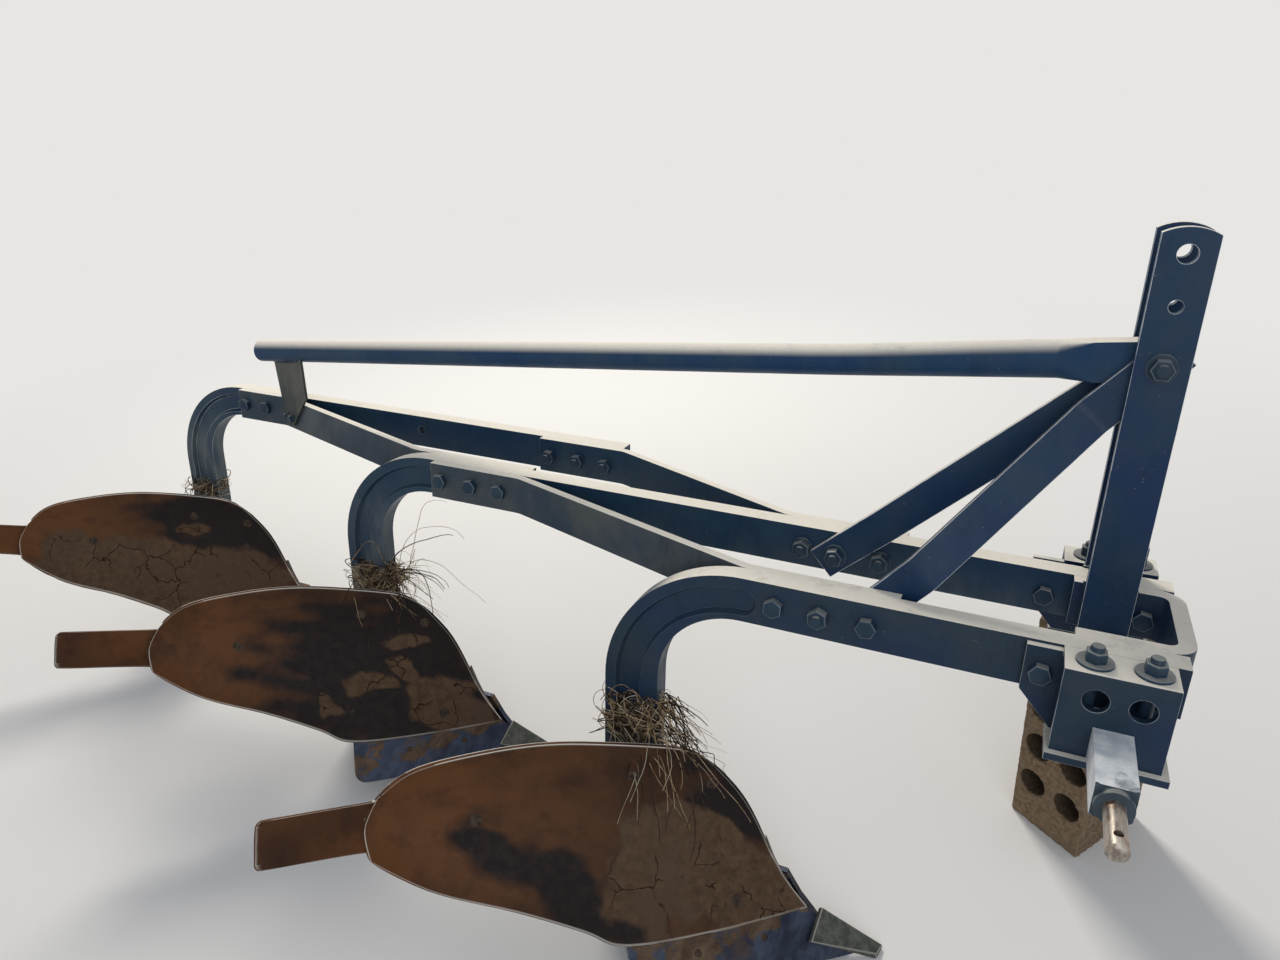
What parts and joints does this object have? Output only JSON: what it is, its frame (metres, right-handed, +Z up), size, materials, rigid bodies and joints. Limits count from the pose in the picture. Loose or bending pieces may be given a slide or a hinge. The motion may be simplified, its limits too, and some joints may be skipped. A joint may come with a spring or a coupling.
{
  "type": "moldboard plough",
  "caption": "Mounted multi-furrow moldboard plough with goose-neck beams and a three-point headstock, its front propped on a hollow block.",
  "frame": {"origin": "on the floor, below the middle of the whole object's box", "axes": "+X is the direction of travel, +Y the plough's left, the unploughed side, +Z up"},
  "size_m": [2.9585, 1.1445, 1.2455],
  "materials": {
    "blue_paint": "worn dark blue paint",
    "shaft_paint": "worn pale paint with bare pins",
    "board_rust": "rusted steel with dried soil",
    "share_steel": "worn bare steel",
    "concrete": "rough cement"
  },
  "bodies": {
    "root": {"beam_1": "blue_paint", "beam_2": "blue_paint", "beam_3": "blue_paint", "crank_plate_front": "blue_paint", "crank_plate_middle": "blue_paint", "crank_plate_rear": "blue_paint", "strap": "blue_paint", "mast_right": "blue_paint", "mast_left": "blue_paint", "brace_right": "blue_paint", "brace_left": "blue_paint", "stay_tube": "blue_paint", "stay_bracket": "blue_paint", "bracket_right": "blue_paint", "bracket_left": "blue_paint", "clamp_plate_right": "blue_paint", "clamp_plate_left": "blue_paint", "cross_shaft": "shaft_paint", "frog_1": "blue_paint", "frog_2": "blue_paint", "frog_3": "blue_paint", "moldboard_1": "board_rust", "moldboard_2": "board_rust", "moldboard_3": "board_rust", "share_1": "share_steel", "share_2": "share_steel", "share_3": "share_steel", "point_1": "share_steel", "point_2": "share_steel", "point_3": "share_steel", "tail_piece_1": "board_rust", "tail_piece_2": "board_rust", "tail_piece_3": "board_rust", "landside_1": "share_steel", "landside_2": "share_steel", "landside_3": "share_steel", "board_rod_1": "blue_paint", "board_rod_2": "blue_paint", "board_rod_3": "blue_paint", "support_block": "concrete"}
  },
  "joints": []
}
